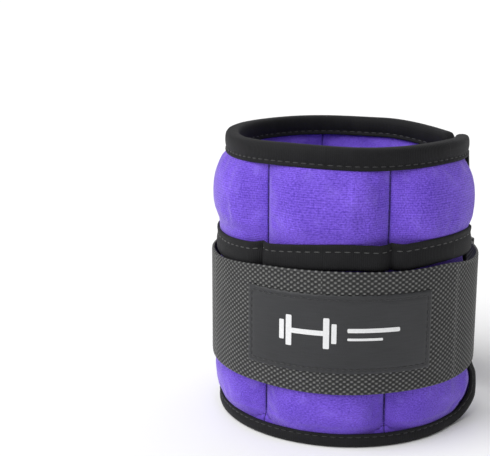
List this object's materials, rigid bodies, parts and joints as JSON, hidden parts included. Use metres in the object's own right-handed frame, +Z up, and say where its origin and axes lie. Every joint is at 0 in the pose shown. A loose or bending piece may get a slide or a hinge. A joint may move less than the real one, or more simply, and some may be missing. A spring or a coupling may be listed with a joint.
{
  "type": "ankle cuff weight",
  "caption": "Adjustable ankle cuff weight: a padded ring of weighted pockets with bound edges, closed by a webbing strap through a wire ring.",
  "frame": {"origin": "on the surface that the cuff stands on, under the middle of its box", "axes": "+Z up along the leg; the label faces -Y; the strap's tail and ring are on the +Y side"},
  "size_m": [0.116, 0.1209, 0.1225],
  "materials": {
    "purple_jersey": "matte",
    "black_edge_tape": "matte",
    "seam_thread": "matte",
    "grey_webbing": "satin",
    "black_hook_tape": "matte",
    "closure_patch": "matte",
    "label_satin": "satin",
    "nickel_wire": "polished",
    "bag_cloth": "matte",
    "iron_sand": "matte"
  },
  "bodies": {
    "pocket_a": {"lining_a": "purple_jersey", "lower_panel_a": "purple_jersey", "upper_panel_a": "purple_jersey", "hem_band_a": "black_edge_tape", "top_binding_a": "black_edge_tape", "bottom_binding_a": "black_edge_tape", "webbing_a": "grey_webbing", "end_binding_a": "black_edge_tape"},
    "pocket_b": {"lining_b": "purple_jersey", "lower_panel_b": "purple_jersey", "upper_panel_b": "purple_jersey", "hem_band_b": "black_edge_tape", "top_binding_b": "black_edge_tape", "bottom_binding_b": "black_edge_tape", "webbing_b": "grey_webbing", "seam_ab": "seam_thread", "label": "label_satin"},
    "pocket_c": {"lining_c": "purple_jersey", "lower_panel_c": "purple_jersey", "upper_panel_c": "purple_jersey", "hem_band_c": "black_edge_tape", "top_binding_c": "black_edge_tape", "bottom_binding_c": "black_edge_tape", "webbing_c": "grey_webbing", "seam_bc": "seam_thread", "seam_cd": "seam_thread"},
    "pocket_d": {"lining_d": "purple_jersey", "lower_panel_d": "purple_jersey", "upper_panel_d": "purple_jersey", "hem_band_d": "black_edge_tape", "top_binding_d": "black_edge_tape", "bottom_binding_d": "black_edge_tape", "webbing_d": "grey_webbing", "holding_tape_d": "black_hook_tape", "seam_de": "seam_thread"},
    "pocket_e": {"lining_e": "purple_jersey", "lower_panel_e": "purple_jersey", "upper_panel_e": "purple_jersey", "hem_band_e": "black_edge_tape", "top_binding_e": "black_edge_tape", "bottom_binding_e": "black_edge_tape", "holding_tape_e": "black_hook_tape", "end_binding_e": "black_edge_tape"},
    "strap": {"strap_tongue": "grey_webbing", "strap_fold": "grey_webbing", "loop_patch": "closure_patch"},
    "tail": {"strap_tail": "grey_webbing", "hook_patch": "closure_patch"},
    "ring": {"ring": "nickel_wire"},
    "pack_a": {"weight_bag_a": "bag_cloth", "iron_sand_a": "iron_sand"},
    "pack_b": {"weight_bag_b": "bag_cloth", "iron_sand_b": "iron_sand"},
    "pack_c": {"weight_bag_c": "bag_cloth", "iron_sand_c": "iron_sand"},
    "pack_d": {"weight_bag_d": "bag_cloth", "iron_sand_d": "iron_sand"},
    "pack_e": {"weight_bag_e": "bag_cloth", "iron_sand_e": "iron_sand"}
  },
  "joints": [
    {"name": "cuff_opening", "type": "hinge", "parent": "pocket_c", "child": "pocket_d", "pos_m": [-0.04891, 0.0085, 0], "axis": [0, 0, 1], "range_deg": [0, 60]},
    {"name": "seam_de_fold", "type": "hinge", "parent": "pocket_d", "child": "pocket_e", "pos_m": [-0.01167, 0.04672, 0], "axis": [0, 0, 1], "range_deg": [0, 60]},
    {"name": "seam_bc_fold", "type": "hinge", "parent": "pocket_c", "child": "pocket_b", "pos_m": [-0.03044, -0.04157, 0], "axis": [0, 0, -1], "range_deg": [0, 60], "deforming": ["label"]},
    {"name": "seam_ab_fold", "type": "hinge", "parent": "pocket_b", "child": "pocket_a", "pos_m": [0.01751, -0.04873, 0], "axis": [0, 0, -1], "range_deg": [0, 60], "deforming": ["label"]},
    {"name": "strap_swing", "type": "hinge", "parent": "pocket_a", "child": "strap", "pos_m": [0.05677, -0.00497, 0], "axis": [0, 0, -1], "range_deg": [0, 75]},
    {"name": "tail_peel", "type": "hinge", "parent": "strap", "child": "tail", "pos_m": [0.01796, 0.05472, 0], "axis": [0, 0, 1], "range_deg": [0, 110], "deforming": ["strap_fold"]},
    {"name": "ring_swing", "type": "hinge", "parent": "pocket_e", "child": "ring", "pos_m": [-0.00047, 0.0575, 0], "axis": [0, 0, 1], "range_deg": [0, 90]},
    {"name": "pack_a_lift", "type": "slide", "parent": "pocket_a", "child": "pack_a", "axis": [0, 0, 1], "range_m": [0, 0.006]},
    {"name": "pack_b_lift", "type": "slide", "parent": "pocket_b", "child": "pack_b", "axis": [0, 0, 1], "range_m": [0, 0.006]},
    {"name": "pack_c_lift", "type": "slide", "parent": "pocket_c", "child": "pack_c", "axis": [0, 0, 1], "range_m": [0, 0.006]},
    {"name": "pack_d_lift", "type": "slide", "parent": "pocket_d", "child": "pack_d", "axis": [0, 0, 1], "range_m": [0, 0.006]},
    {"name": "pack_e_lift", "type": "slide", "parent": "pocket_e", "child": "pack_e", "axis": [0, 0, 1], "range_m": [0, 0.006]}
  ],
  "couplings": [
    {"joint": "seam_de_fold", "follows": "cuff_opening", "ratio": 1},
    {"joint": "seam_bc_fold", "follows": "cuff_opening", "ratio": 1},
    {"joint": "seam_ab_fold", "follows": "cuff_opening", "ratio": 1},
    {"joint": "strap_swing", "follows": "cuff_opening", "ratio": 1.25}
  ]
}
